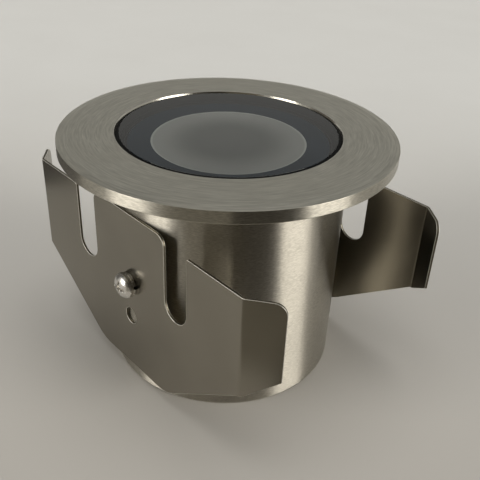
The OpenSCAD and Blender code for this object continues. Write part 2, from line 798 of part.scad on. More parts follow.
// Split spring washers under the screw heads.
module lock_washers() {
    color("gainsboro") on_wall(washer_y) difference() {
        ring(washer_d / 2, m4_d / 2 + seat_gap, 0, washer_t);
        rotate([0, 0, washer_split_angle]) translate([0, -washer_split_w / 2, -overrun])
            cube([washer_d, washer_split_w, washer_t + 2 * overrun]);
    }
}

can();
weld_nuts();
bezel_ring();
bezel_gasket();
glass();
glass_seal();
mask_ring();
diffuser();
reflector();
led_board();
leds();
thermal_pad();
heat_sink();
board_screws();
pillars();
sink_screws();
led_leads();
driver_tray();
driver_board();
driver_screws();
transformer();
capacitors();
control_chips();
terminal_block();
gland_body();
gland_washer();
gland_lock_nut();
gland_bush();
gland_slip_ring();
gland_cap_nut();
front_bracket();
rear_bracket();
bracket_screws();
lock_washers();
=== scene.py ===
import math
import bmesh
import bpy
from mathutils import Matrix, Vector


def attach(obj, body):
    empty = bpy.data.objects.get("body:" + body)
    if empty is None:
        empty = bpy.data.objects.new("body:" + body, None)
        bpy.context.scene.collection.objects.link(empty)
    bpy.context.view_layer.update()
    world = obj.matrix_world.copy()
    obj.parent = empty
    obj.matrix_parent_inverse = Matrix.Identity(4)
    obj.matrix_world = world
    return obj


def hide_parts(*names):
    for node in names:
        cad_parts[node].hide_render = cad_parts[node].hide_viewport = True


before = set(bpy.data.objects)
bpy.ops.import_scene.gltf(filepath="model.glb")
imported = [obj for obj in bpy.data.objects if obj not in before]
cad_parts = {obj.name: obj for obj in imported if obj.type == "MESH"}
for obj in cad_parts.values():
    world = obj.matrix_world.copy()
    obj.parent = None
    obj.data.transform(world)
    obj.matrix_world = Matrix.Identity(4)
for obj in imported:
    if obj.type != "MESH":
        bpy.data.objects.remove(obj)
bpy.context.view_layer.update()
scene = bpy.context.scene
mm = 0.001
print("frame loaded:", len(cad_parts), "nodes")


# node helpers

def feed(tree, node, inputs):
    # a socket is linked to the input, any other value is set on it
    for name, value in inputs.items():
        if isinstance(value, bpy.types.NodeSocket):
            tree.links.new(value, node.inputs[name])
        else:
            node.inputs[name].default_value = value


def addNode(tree, kind, inputs=None, **settings):
    node = tree.nodes.new(kind)
    for name, value in settings.items():
        setattr(node, name, value)
    feed(tree, node, inputs or {})
    return node


def wire(tree, kind, inputs=None, **settings):
    # adds a node and gives its first output
    return addNode(tree, kind, inputs, **settings).outputs[0]


def calc(tree, operation, *values):
    return wire(tree, "ShaderNodeMath", dict(enumerate(values)), operation=operation)


def times(tree, first, *others):
    for other in others:
        first = calc(tree, "MULTIPLY", first, other)
    return first


def remap(tree, value, fromLow, fromHigh, toLow=0.0, toHigh=1.0, style="LINEAR"):
    ends = {0: value, 1: fromLow, 2: fromHigh, 3: toLow, 4: toHigh}
    return wire(tree, "ShaderNodeMapRange", ends, interpolation_type=style)


def easeIn(tree, value, low, high):
    # 0 below low, 1 above high, smooth between them
    return remap(tree, value, low, high, style="SMOOTHSTEP")


def easeOut(tree, value, low, high):
    return remap(tree, value, low, high, 1.0, 0.0, "SMOOTHSTEP")


def splitVector(tree, vector):
    return addNode(tree, "ShaderNodeSeparateXYZ", {0: vector}).outputs


def lengthOf(tree, x, y):
    return calc(tree, "SQRT", calc(tree, "ADD", times(tree, x, x), times(tree, y, y)))


def placeRound(tree, radius, angle, height):
    return wire(tree, "ShaderNodeCombineXYZ", {
        "X": times(tree, radius, calc(tree, "COSINE", angle)),
        "Y": times(tree, radius, calc(tree, "SINE", angle)),
        "Z": height})


def newTree(name, kind, inputs, outputs):
    tree = bpy.data.node_groups.new(name, kind)
    for label, sort, value in inputs:
        socket = tree.interface.new_socket(label, in_out="INPUT", socket_type="NodeSocket" + sort)
        if value is not None:
            socket.default_value = value
    for label, sort in outputs:
        tree.interface.new_socket(label, in_out="OUTPUT", socket_type="NodeSocket" + sort)
    return tree, addNode(tree, "NodeGroupInput").outputs, addNode(tree, "NodeGroupOutput")


# Geometry Nodes: a profile turned about the axis, with an optional helical thread

def buildTurnedPartTree():
    tree, given, result = newTree("turnedPart", "GeometryNodeTree", [
        ("Profile", "Geometry", None),
        ("Segments", "Int", 160),
        ("Thread Pitch", "Float", mm),
        ("Thread Depth", "Float", 0.0)], [("Geometry", "Geometry")])
    profile = given["Profile"]
    count = addNode(tree, "GeometryNodeAttributeDomainSize", {"Geometry": profile}).outputs["Point Count"]
    columns = calc(tree, "ADD", given["Segments"], 1)
    grid = wire(tree, "GeometryNodeMeshGrid", {"Vertices X": columns, "Vertices Y": count})
    index = wire(tree, "GeometryNodeInputIndex")
    row = calc(tree, "FLOORED_MODULO", index, count)
    column = calc(tree, "FLOOR", calc(tree, "DIVIDE", calc(tree, "ADD", index, 0.5), count))
    turn = calc(tree, "DIVIDE", column, given["Segments"])

    def fromProfile(value, kind):
        sample = addNode(tree, "GeometryNodeSampleIndex", {
            "Geometry": profile, "Value": value, "Index": row}, data_type=kind, domain="POINT")
        return sample.outputs["Value"]

    def mark(name):
        named = wire(tree, "GeometryNodeInputNamedAttribute", {"Name": name}, data_type="FLOAT")
        return fromProfile(named, "FLOAT")

    place = fromProfile(wire(tree, "GeometryNodeInputPosition"), "FLOAT_VECTOR")
    x, y, z = splitVector(tree, place)
    phase = calc(tree, "SUBTRACT", calc(tree, "DIVIDE", z, given["Thread Pitch"]), turn)
    flank = calc(tree, "PINGPONG", times(tree, phase, 2.0), 1.0)
    cut = times(tree, flank, mark("threaded"), given["Thread Depth"])
    spot = placeRound(tree, calc(tree, "SUBTRACT", x, cut), times(tree, turn, 2 * math.pi), z)
    wornAndHighlight = wire(tree, "GeometryNodeStoreNamedAttribute", {
        "Geometry": grid, "Name": "edgeWearAndHighlight", "Value": mark("edgeWearAndHighlight")}, data_type="FLOAT", domain="POINT")
    moved = wire(tree, "GeometryNodeSetPosition", {"Geometry": wornAndHighlight, "Position": spot})
    closed = wire(tree, "GeometryNodeMergeByDistance", {"Geometry": moved, "Distance": 2e-6})
    feed(tree, result, {0: closed})
    return tree


# Geometry Nodes: one item repeated round the axis, lying down where it goes into a wall

def buildRepeatTree():
    tree, given, result = newTree("repeatRound", "GeometryNodeTree", [
        ("Item", "Geometry", None),
        ("Count", "Int", 3),
        ("Middle Items", "Int", 0),
        ("Circle Radius", "Float", 0.01),
        ("Height", "Float", 0.0),
        ("First Angle", "Float", 0.0),
        ("Tilt", "Float", 0.0),
        ("Turn", "Float", 0.0)], [("Geometry", "Geometry")])
    total = calc(tree, "ADD", given["Count"], given["Middle Items"])
    number = calc(tree, "SUBTRACT", wire(tree, "GeometryNodeInputIndex"), given["Middle Items"])
    step = calc(tree, "DIVIDE", 2 * math.pi, given["Count"])
    angle = calc(tree, "ADD", times(tree, number, step), given["First Angle"])
    onCircle = calc(tree, "GREATER_THAN", number, -0.5)
    spot = placeRound(tree, times(tree, given["Circle Radius"], onCircle), angle, given["Height"])
    turned = wire(tree, "ShaderNodeCombineXYZ", {
        "X": given["Tilt"], "Z": times(tree, calc(tree, "ADD", angle, given["Turn"]), onCircle)})
    points = wire(tree, "GeometryNodePoints", {"Count": total, "Position": spot})
    items = wire(tree, "GeometryNodeInstanceOnPoints", {
        "Points": points, "Instance": given["Item"], "Rotation": turned})
    feed(tree, result, {0: wire(tree, "GeometryNodeRealizeInstances", {"Geometry": items})})
    return tree


# Geometry Nodes: presses a cross recess into the top of a screw head

recessShape = {
    "armTaper": 0.25, "wallFrom": -0.02, "wallTo": 0.16, "endFrom": 0.88, "endTo": 1.04,
    "floorPower": 1.4, "floorRise": 0.55}


def buildCrossRecessTree(look):
    tree, given, result = newTree("crossRecess", "GeometryNodeTree", [
        ("Screw", "Geometry", None),
        ("Arm Width", "Float", mm),
        ("Arm Length", "Float", 4 * mm),
        ("Recess Depth", "Float", mm),
        ("Seat Height", "Float", 0.0)], [("Geometry", "Geometry")])
    x, y, z = splitVector(tree, wire(tree, "GeometryNodeInputPosition"))
    u = calc(tree, "ABSOLUTE", x)
    v = calc(tree, "ABSOLUTE", y)
    far = calc(tree, "DIVIDE", lengthOf(tree, u, v), times(tree, given["Arm Length"], 0.5))
    narrow = calc(tree, "SUBTRACT", 1.0, times(tree, far, look["armTaper"]))
    half = times(tree, given["Arm Width"], 0.5, narrow)
    inside = calc(tree, "SUBTRACT", half, calc(tree, "MINIMUM", u, v))
    wall = easeIn(tree, inside, look["wallFrom"] * mm, look["wallTo"] * mm)
    end = easeOut(tree, far, look["endFrom"], look["endTo"])
    rise = times(tree, calc(tree, "POWER", far, look["floorPower"]), look["floorRise"])
    slope = calc(tree, "SUBTRACT", 1.0, rise)
    top = calc(tree, "GREATER_THAN", z, given["Seat Height"])
    sunk = times(tree, wall, end, slope, given["Recess Depth"], -1.0, top)
    offset = wire(tree, "ShaderNodeCombineXYZ", {"Z": sunk})
    moved = wire(tree, "GeometryNodeSetPosition", {"Geometry": given["Screw"], "Offset": offset})
    feed(tree, result, {0: moved})
    return tree


# Geometry Nodes: a split spring washer, a rounded bar swept along most of a turn

def buildSpringWasherTree():
    tree, given, result = newTree("springWasher", "GeometryNodeTree", [
        ("Geometry", "Geometry", None),
        ("Middle Radius", "Float", 3 * mm),
        ("Bar Width", "Float", 1.5 * mm),
        ("Bar Height", "Float", 0.9 * mm),
        ("Rise", "Float", 0.1 * mm),
        ("Turns", "Float", 0.96)], [("Geometry", "Geometry")])
    spiral = wire(tree, "GeometryNodeCurveSpiral", {
        "Resolution": 72, "Rotations": given["Turns"], "Start Radius": given["Middle Radius"],
        "End Radius": given["Middle Radius"], "Height": given["Rise"]})
    level = wire(tree, "GeometryNodeSetCurveNormal", {"Curve": spiral}, mode="Z_UP")
    bar = wire(tree, "GeometryNodeCurvePrimitiveQuadrilateral", {
        "Width": given["Bar Width"], "Height": given["Bar Height"]})
    rounded = wire(tree, "GeometryNodeFilletCurve", {
        "Curve": bar, "Count": 3, "Radius": 0.14 * mm}, mode="POLY")
    swept = wire(tree, "GeometryNodeCurveToMesh", {
        "Curve": level, "Profile Curve": rounded, "Fill Caps": True})
    feed(tree, result, {0: swept})
    return tree


turnedPartTree = buildTurnedPartTree()
repeatTree = buildRepeatTree()
crossRecessTree = buildCrossRecessTree(recessShape)
springWasherTree = buildSpringWasherTree()
print("geometry trees built")


# mesh helpers

cornerArc = {"steps": 4, "mostOfSide": 0.46, "supportShare": 0.3, "mostSupport": 0.03}


def roundedProfile(points):
    # (radius, height, fillet, share of wear and painted highlight) corners become small arcs, each flanked
    # by a support point
    steps, most = cornerArc["steps"], cornerArc["mostOfSide"]
    path = []
    for index, (radius, height, fillet, *share) in enumerate(points):
        wearAndHighlight = share[0] if share else 1.0
        here = Vector((radius, height))
        if fillet <= 0:
            path.append((radius, height, 0.0))
            continue
        before = Vector(points[index - 1][:2]) - here
        after = Vector(points[(index + 1) % len(points)][:2]) - here
        reach = min(fillet, before.length * most, after.length * most)
        start, end = here + before.normalized() * reach, here + after.normalized() * reach
        spare = min(reach * cornerArc["supportShare"], cornerArc["mostSupport"])
        path.append((*(start + before.normalized() * spare), 0.0))
        for step in range(steps + 1):
            part = step / steps
            spot = start * (1 - part) ** 2 + here * 2 * part * (1 - part) + end * part ** 2
            path.append((*spot, wearAndHighlight))
        path.append((*(end + after.normalized() * spare), 0.0))
    return path


def addThread(path, look):
    # six points a pitch on the threaded wall, with the thread's share of depth and some wear
    pitch = look["pitch"]
    dense = []
    for first, second in zip(path, path[1:]):
        dense.append(first)
        length = abs(second[1] - first[1])
        if length <= pitch or any(abs(end[0] - look["radius"]) >= 0.02 for end in (first, second)):
            continue
        parts = max(2, round(length / pitch * 6))
        for part in range(1, parts):
            height = first[1] + (second[1] - first[1]) * part / parts
            depth = max(0.0, min(1, (height - look["from"]) / pitch, (look["to"] - height) / pitch))
            dense.append((first[0], height, 0.3 * depth, depth))
    return dense + [path[-1]]


def profileMesh(look):
    path = [(*point, 0.0) for point in roundedProfile(look["corners"])]
    if look.get("closed", True):
        path.append(path[0])
    if "thread" in look:
        path = addThread(path, look["thread"])
    mesh = bpy.data.meshes.new("profile")
    points = [(radius * mm, 0, height * mm) for radius, height, _, _ in path]
    mesh.from_pydata(points, [(i, i + 1) for i in range(len(path) - 1)], [])
    for label, column in (("edgeWearAndHighlight", 2), ("threaded", 3)):
        values = mesh.attributes.new(label, "FLOAT", "POINT")
        values.data.foreach_set("value", [point[column] for point in path])
    return mesh


def newHolder(mesh):
    holder = bpy.data.objects.new("holder", mesh)
    scene.collection.objects.link(holder)
    return holder


def finalMesh(holder):
    # the mesh that the holder's modifiers make; the holder goes
    bpy.context.view_layer.update()
    made = bpy.data.meshes.new_from_object(holder.evaluated_get(bpy.context.evaluated_depsgraph_get()))
    bpy.data.objects.remove(holder)
    return made


def meshFrom(shell, name):
    mesh = bpy.data.meshes.new(name)
    shell.to_mesh(mesh)
    shell.free()
    return mesh


def runTree(mesh, tree, values, extra=()):
    # gives the plain mesh that the tree makes of this one
    holder = newHolder(mesh)
    for oneTree, oneValues in ((tree, values), *extra):
        modifier = holder.modifiers.new(oneTree.name, "NODES")
        modifier.node_group = oneTree
        for item in oneTree.interface.items_tree:
            if item.item_type == "SOCKET" and item.in_out == "INPUT" and item.name in oneValues:
                modifier[item.identifier] = oneValues[item.name]
    return finalMesh(holder)


def tidyMesh(mesh, sharp=38):
    shell = bmesh.new()
    shell.from_mesh(mesh)
    bmesh.ops.remove_doubles(shell, verts=shell.verts, dist=1e-6)
    bmesh.ops.dissolve_degenerate(shell, edges=shell.edges, dist=1e-7)
    bmesh.ops.recalc_face_normals(shell, faces=shell.faces)
    shell.to_mesh(mesh)
    shell.free()
    mesh.shade_smooth()
    mesh.set_sharp_from_angle(angle=math.radians(sharp))


def addPiece(name, mesh, finishes, body, nodes):
    mesh.name = name
    mesh.materials.clear()
    for finish in finishes:
        mesh.materials.append(finish)
    piece = bpy.data.objects.new(name, mesh)
    scene.collection.objects.link(piece)
    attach(piece, body)
    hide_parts(*nodes)
    return piece


def turnedPiece(name, look, finishes, body, nodes):
    values = {"Segments": look.get("segments", 160)}
    if "thread" in look:
        values["Thread Pitch"] = look["thread"]["pitch"] * mm
        values["Thread Depth"] = look["thread"]["depth"] * mm
    mesh = runTree(profileMesh(look), turnedPartTree, values)
    tidyMesh(mesh)
    return addPiece(name, mesh, finishes, body, nodes)


def softenedCopy(name, node, finish, body, bevel, cutEdges=None):
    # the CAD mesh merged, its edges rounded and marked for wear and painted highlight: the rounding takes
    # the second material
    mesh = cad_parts[node].data.copy()
    shell = bmesh.new()
    shell.from_mesh(mesh)
    bmesh.ops.remove_doubles(shell, verts=shell.verts, dist=2e-6)
    bmesh.ops.dissolve_limit(shell, angle_limit=math.radians(0.4), verts=shell.verts, edges=shell.edges)
    shell.to_mesh(mesh)
    shell.free()
    holder = newHolder(mesh)
    edge = holder.modifiers.new("edges", "BEVEL")
    edge.width, edge.segments, edge.limit_method = bevel * mm, 2, "ANGLE"
    edge.angle_limit = math.radians(32)
    edge.use_clamp_overlap = True
    edge.material = 1
    mesh.materials.clear()
    mesh.materials.append(finish)
    mesh.materials.append(finish)
    mesh.shade_smooth()
    even = holder.modifiers.new("normals", "WEIGHTED_NORMAL")
    even.keep_sharp = True
    made = finalMesh(holder)
    wornAndHighlight = [1.0 if face.material_index == 1 else 0.0 for face in made.polygons]
    made.attributes.new("edgeWearAndHighlight", "FLOAT", "FACE").data.foreach_set("value", wornAndHighlight)
    # cut edges, which the sheet finish paints darker as a reflection of the dark room
    if cutEdges:
        shearedAndDarkReflection = [cutEdges(face) * (1.0 - value) for value, face in zip(wornAndHighlight, made.polygons)]
        made.attributes.new("shearedEdgeAndDarkReflection", "FLOAT", "FACE").data.foreach_set("value", shearedAndDarkReflection)
    made.polygons.foreach_set("material_index", [0] * len(made.polygons))
    return addPiece(name, made, [finish], body, [node])


# shader groups

def noise(tree, vector, scale, detail, roughness=0.5):
    return wire(tree, "ShaderNodeTexNoise", {
        "Vector": vector, "Scale": scale, "Detail": detail, "Roughness": roughness})


def fullNoise(tree, *settings):
    # noise stretched to the whole range from 0 to 1
    return remap(tree, noise(tree, *settings), 0.3, 0.7)


def mixColour(tree, factor, *colours):
    first, second = (value if isinstance(value, bpy.types.NodeSocket) else (*value, 1) for value in colours)
    return addNode(tree, "ShaderNodeMix", {0: factor, 6: first, 7: second}, data_type="RGBA").outputs[2]


def buildTurnedGrain():
    # short streaks that run round the axis, fine across and long along
    tree, given, result = newTree("turnedGrain", "ShaderNodeTree", [
        ("Vector", "Vector", None),
        ("Lines per Metre", "Float", 3000.0),
        ("Streaks", "Float", 7.0),
        ("Band Share", "Float", 0.16)],
        [("Lines", "Float"), ("Bands", "Float")])
    x, y, z = splitVector(tree, given["Vector"])
    radius = calc(tree, "MAXIMUM", lengthOf(tree, x, y), 1e-5)
    lineWave = times(tree, calc(tree, "ADD", radius, z), given["Lines per Metre"])
    bandWave = times(tree, lineWave, given["Band Share"])
    east, north = (times(tree, calc(tree, "DIVIDE", part, radius), given["Streaks"]) for part in (x, y))
    for outlet, wave, detail, spread in ((0, lineWave, 3.0, 1.0), (1, bandWave, 2.0, 0.3)):
        spot = wire(tree, "ShaderNodeCombineXYZ", {
            "X": wave, "Y": times(tree, east, spread), "Z": times(tree, north, spread)})
        feed(tree, result, {outlet: fullNoise(tree, spot, 1.0, detail, 0.62)})
    return tree


def buildSheetGrain():
    # rolled sheet: faint lines along the roll and a soft mottle
    tree, given, result = newTree("sheetGrain", "ShaderNodeTree", [
        ("Vector", "Vector", None),
        ("Along", "Float", 160.0),
        ("Across", "Float", 5200.0),
        ("Mottle", "Float", 90.0)],
        [("Lines", "Float"), ("Cloud", "Float")])
    x, y, z = splitVector(tree, given["Vector"])
    spot = wire(tree, "ShaderNodeCombineXYZ", {
        "X": times(tree, x, given["Along"]),
        "Y": times(tree, y, given["Along"]),
        "Z": times(tree, z, given["Across"])})
    feed(tree, result, {
        0: fullNoise(tree, spot, 1.0, 3.0, 0.6), 1: fullNoise(tree, given["Vector"], given["Mottle"], 3.0)})
    return tree


def buildWornEdge():
    # breaks the marked edges up, so that their wear and painted highlight show in places
    tree, given, result = newTree("wornEdgeAndHighlight", "ShaderNodeTree", [
        ("Vector", "Vector", None),
        ("Edge", "Float", 0.0),
        ("Patch Size", "Float", 700.0),
        ("Amount", "Float", 0.8)], [("WearAndHighlight", "Float")])
    patches = noise(tree, given["Vector"], given["Patch Size"], 3.0)
    broken = remap(tree, patches, 0.35, 0.6, 0.8, 1.0, "SMOOTHSTEP")
    wearAndHighlight = times(tree, broken, given["Edge"], given["Amount"])
    feed(tree, result, {0: calc(tree, "MINIMUM", wearAndHighlight, 1.0)})
    return tree


def buildDustAndTouch():
    # settled dust on faces that look up, and soft finger smudges anywhere
    tree, given, result = newTree("dustAndTouch", "ShaderNodeTree", [
        ("Vector", "Vector", None),
        ("Touch Size", "Float", 60.0),
        ("Speck Size", "Float", 2600.0)],
        [("Touch", "Float"), ("Dust", "Float")])
    touch = wire(tree, "ShaderNodeTexNoise", {
        "Vector": given["Vector"], "Scale": given["Touch Size"], "Detail": 2.0, "Distortion": 0.6})
    specks = wire(tree, "ShaderNodeTexVoronoi", {"Vector": given["Vector"], "Scale": given["Speck Size"]})
    up = splitVector(tree, addNode(tree, "ShaderNodeNewGeometry").outputs["Normal"])[2]
    dust = times(tree, easeIn(tree, up, 0.4, 0.95), easeOut(tree, specks, 0.06, 0.16))
    feed(tree, result, {0: easeIn(tree, touch, 0.42, 0.68), 1: dust})
    return tree


turnedGrain = buildTurnedGrain()
sheetGrain = buildSheetGrain()
wornEdgeAndHighlight = buildWornEdge()
dustAndTouch = buildDustAndTouch()
print("shader groups built")


# material helpers

def useGroup(tree, group, inputs):
    return addNode(tree, "ShaderNodeGroup", inputs, node_tree=group).outputs


def startMaterial(name):
    material = bpy.data.materials.new(name)
    material.use_nodes = True
    tree = material.node_tree
    coords = addNode(tree, "ShaderNodeTexCoord").outputs["Object"]
    return material, tree, tree.nodes["Principled BSDF"], coords


def markOn(tree, name):
    return addNode(tree, "ShaderNodeAttribute", attribute_name=name).outputs["Fac"]


def wearAndHighlightOn(tree, coords, look):
    edge = markOn(tree, "edgeWearAndHighlight")
    return useGroup(tree, wornEdgeAndHighlight, {"Vector": coords, "Edge": edge, "Amount": look["wearAndHighlight"]})[0]


def between(tree, share, ends):
    return remap(tree, share, 0.0, 1.0, *ends)


def bumpFrom(tree, shader, height, strength, depth=0.02):
    bump = wire(tree, "ShaderNodeBump", {"Height": height, "Strength": strength, "Distance": depth * mm})
    feed(tree, shader, {"Normal": bump})


touchRoughness = 0.05
dustColour = (0.42, 0.4, 0.36)


def brushedTurnedSteel(name, look):
    material, tree, shader, coords = startMaterial(name)
    lines, bands = useGroup(tree, turnedGrain, {
        "Vector": coords, "Lines per Metre": look["lines"], "Streaks": look["streaks"]})
    touch = useGroup(tree, dustAndTouch, {"Vector": coords})[0]
    wearAndHighlight = wearAndHighlightOn(tree, coords, look)
    colour = mixColour(tree, lines, look["dark"], look["light"])
    colour = mixColour(tree, times(tree, bands, look["banding"]), colour, look["dark"])
    colour = mixColour(tree, times(tree, touch, look["touch"]), colour, look["touched"])
    # edge wear colour, on the bezel's inner top edge and the brackets' edges also a painted highlight
    colour = mixColour(tree, wearAndHighlight, colour, look["wornAndHighlight"])
    smeared = calc(tree, "ADD", between(tree, lines, look["roughness"]), times(tree, touch, touchRoughness))
    feed(tree, shader, {
        "Base Color": colour, "Roughness": calc(tree, "SUBTRACT", smeared, times(tree, wearAndHighlight, 0.12)),
        "Metallic": 1.0, "Anisotropic": look["anisotropy"], "Anisotropic Rotation": 0.25,
        "Tangent": wire(tree, "ShaderNodeTangent", direction_type="RADIAL", axis="Z")})
    bumpFrom(tree, shader, lines, look["bump"])
    return material


def satinSheetSteel(name, look):
    material, tree, shader, coords = startMaterial(name)
    lines, cloud = useGroup(tree, sheetGrain, {"Vector": coords, "Mottle": look["mottle"]})
    touch = useGroup(tree, dustAndTouch, {"Vector": coords, "Touch Size": 45.0})[0]
    wearAndHighlight = wearAndHighlightOn(tree, coords, look)
    shearedAndDarkReflection = markOn(tree, "shearedEdgeAndDarkReflection")
    colour = mixColour(tree, cloud, look["dark"], look["light"])
    colour = mixColour(tree, times(tree, lines, look["lining"]), colour, look["light"])
    colour = mixColour(tree, times(tree, touch, look["touch"]), colour, look["touched"])
    # painted reflection: cut edges darker, partly their duller sheared surface and partly the dark room they
    # reflect
    colour = mixColour(tree, shearedAndDarkReflection, colour, look["shearedAndDarkReflection"])
    # painted highlight: rounded edges much lighter, partly rubbed steel
    colour = mixColour(tree, wearAndHighlight, colour, look["wornAndHighlight"])
    rough = calc(tree, "ADD", between(tree, cloud, look["roughness"]), times(tree, shearedAndDarkReflection, 0.2))
    rough = calc(tree, "ADD", rough, times(tree, wearAndHighlight, 0.25))
    feed(tree, shader, {"Base Color": colour, "Roughness": rough, "Metallic": 1.0})
    bumpFrom(tree, shader, calc(tree, "ADD", lines, cloud), look["bump"])
    return material


def polishedMetal(name, look):
    material, tree, shader, coords = startMaterial(name)
    marks = fullNoise(tree, coords, look["marks"], 4.0, 0.6)
    colour = mixColour(tree, marks, look["dark"], look["light"])
    colour = mixColour(tree, wearAndHighlightOn(tree, coords, look), colour, look["wornAndHighlight"])
    feed(tree, shader, {
        "Base Color": colour, "Roughness": between(tree, marks, look["roughness"]), "Metallic": 1.0})
    bumpFrom(tree, shader, marks, look["bump"])
    return material


def mouldedStuff(name, look):
    # plastics, rubbers, boards, coatings: fine skin, slight colour drift, rubbed edges, dust
    material, tree, shader, coords = startMaterial(name)
    skin = fullNoise(tree, coords, look["skin"], 3.0, 0.6)
    drift = fullNoise(tree, coords, look["drift"], 2.0)
    touch, dust = useGroup(tree, dustAndTouch, {"Vector": coords})
    colour = mixColour(tree, drift, look["dark"], look["light"])
    colour = mixColour(tree, wearAndHighlightOn(tree, coords, look), colour, look["wornAndHighlight"])
    colour = mixColour(tree, times(tree, dust, look.get("dust", 0.25)), colour, dustColour)
    rough = calc(tree, "ADD", between(tree, skin, look["roughness"]), times(tree, touch, touchRoughness))
    feed(tree, shader, {
        "Base Color": colour, "Roughness": rough, "Metallic": 0.0,
        "Specular IOR Level": look.get("gloss", 0.5)})
    bumpFrom(tree, shader, skin, look["bump"])
    return material


def clearGlass(name, look):
    material, tree, shader, coords = startMaterial(name)
    touch, dust = useGroup(tree, dustAndTouch, {"Vector": coords, "Touch Size": 40.0, "Speck Size": 900.0})
    shade = fullNoise(tree, coords, 120.0, 2.0)
    smudged = calc(tree, "ADD", times(tree, touch, look["smear"]), times(tree, dust, look["dust"]))
    feed(tree, shader, {
        "Base Color": mixColour(tree, shade, look["dark"], look["light"]),
        "Roughness": calc(tree, "ADD", smudged, look["roughness"]),
        "IOR": look["bending"], "Transmission Weight": 1.0})
    bumpFrom(tree, shader, shade, look["bump"], 0.01)
    through = wire(tree, "ShaderNodeBsdfTransparent", {"Color": (*look["shadow"], 1)})
    shadowRay = addNode(tree, "ShaderNodeLightPath").outputs["Is Shadow Ray"]
    blend = wire(tree, "ShaderNodeMixShader", {0: shadowRay, 1: shader.outputs[0], 2: through})
    feed(tree, tree.nodes["Material Output"], {"Surface": blend})
    return material


def frostedDisc(name, look):
    # pale moulded disc with painted shade, darker in the middle over the throat of the reflector, and a
    # painted highlight on its edge
    material, tree, shader, coords = startMaterial(name)
    x, y, z = splitVector(tree, coords)
    radius = lengthOf(tree, x, y)
    # painted shade: the disc darkens towards the middle
    rise = easeIn(tree, radius, look["shadeInnerRadius"] * mm, look["shadeOuterRadius"] * mm)
    # painted highlight: a lighter ring at the disc's edge
    highlightRing = easeIn(tree, radius, look["highlightFrom"] * mm, look["highlightTo"] * mm)
    grain = fullNoise(tree, coords, 2400.0, 2.0)
    colour = mixColour(tree, rise, look["middle"], look["rim"])
    colour = mixColour(tree, highlightRing, colour, look["paintedEdgeHighlight"])
    colour = mixColour(tree, times(tree, grain, 0.12), colour, look["grain"])
    feed(tree, shader, {"Base Color": colour, "Roughness": between(tree, grain, look["roughness"])})
    bumpFrom(tree, shader, grain, 0.03)
    return material


# the wear colour here is partly a painted highlight, strongest on the inner top edge
bezelFinish = brushedTurnedSteel("bezelSteel", {
    "dark": (0.47, 0.453, 0.39), "light": (0.7, 0.676, 0.594), "touched": (0.55, 0.527, 0.456),
    "wornAndHighlight": (0.82, 0.79, 0.72), "roughness": (0.42, 0.5), "anisotropy": 0.0, "lines": 2600.0,
    "streaks": 6.0, "banding": 0.2, "touch": 0.2, "wearAndHighlight": 0.9, "bump": 0.12})
rimFinish = brushedTurnedSteel("bezelRimSteel", {
    "dark": (0.42, 0.398, 0.341), "light": (0.7, 0.667, 0.585), "touched": (0.5, 0.475, 0.41),
    "wornAndHighlight": (0.82, 0.79, 0.72), "roughness": (0.32, 0.37), "anisotropy": 1.0, "lines": 4200.0,
    "streaks": 34.0, "banding": 0.1, "touch": 0.15, "wearAndHighlight": 0.5, "bump": 0.06})
canFinish = brushedTurnedSteel("canSteel", {
    "dark": (0.41, 0.383, 0.328), "light": (0.66, 0.628, 0.553), "touched": (0.47, 0.44, 0.38),
    "wornAndHighlight": (0.78, 0.75, 0.68), "roughness": (0.32, 0.4), "anisotropy": 1.0, "lines": 4600.0,
    "streaks": 34.0, "banding": 0.15, "touch": 0.2, "wearAndHighlight": 0.5, "bump": 0.08})
# the worn colour paints a highlight on the rounded edges, partly rubbed steel; the sheared colour paints
# dark reflection on the cut edges, partly their duller surface
springFinish = satinSheetSteel("springSteel", {
    "dark": (0.272, 0.253, 0.211), "light": (0.318, 0.297, 0.25), "touched": (0.287, 0.267, 0.224),
    "shearedAndDarkReflection": (0.16, 0.145, 0.11), "wornAndHighlight": (0.9, 0.87, 0.8), "roughness": (0.2, 0.26),
    "mottle": 55.0, "lining": 0.25, "touch": 0.3, "wearAndHighlight": 1.0, "bump": 0.05})
screwFinish = polishedMetal("screwSteel", {
    "dark": (0.72, 0.7, 0.66), "light": (0.86, 0.84, 0.8), "wornAndHighlight": (0.92, 0.9, 0.87),
    "roughness": (0.2, 0.28), "marks": 1600.0, "wearAndHighlight": 0.6, "bump": 0.08})
chamferFinish = polishedMetal("bezelChamferSteel", {
    "dark": (0.6, 0.575, 0.5), "light": (0.74, 0.71, 0.63), "wornAndHighlight": (0.84, 0.81, 0.74),
    "roughness": (0.14, 0.2), "marks": 1800.0, "wearAndHighlight": 0.5, "bump": 0.04})
innerFinish = polishedMetal("innerSteel", {
    "dark": (0.42, 0.41, 0.4), "light": (0.6, 0.59, 0.57), "wornAndHighlight": (0.75, 0.74, 0.72),
    "roughness": (0.22, 0.34), "marks": 1400.0, "wearAndHighlight": 0.5, "bump": 0.1})
glandFinish = polishedMetal("glandMetal", {
    "dark": (0.5, 0.48, 0.43), "light": (0.68, 0.65, 0.58), "wornAndHighlight": (0.86, 0.83, 0.76),
    "roughness": (0.16, 0.28), "marks": 900.0, "wearAndHighlight": 0.8, "bump": 0.1})
pillarFinish = polishedMetal("pillarBrass", {
    "dark": (0.5, 0.34, 0.12), "light": (0.7, 0.5, 0.2), "wornAndHighlight": (0.86, 0.68, 0.36),
    "roughness": (0.2, 0.32), "marks": 1200.0, "wearAndHighlight": 0.7, "bump": 0.1})
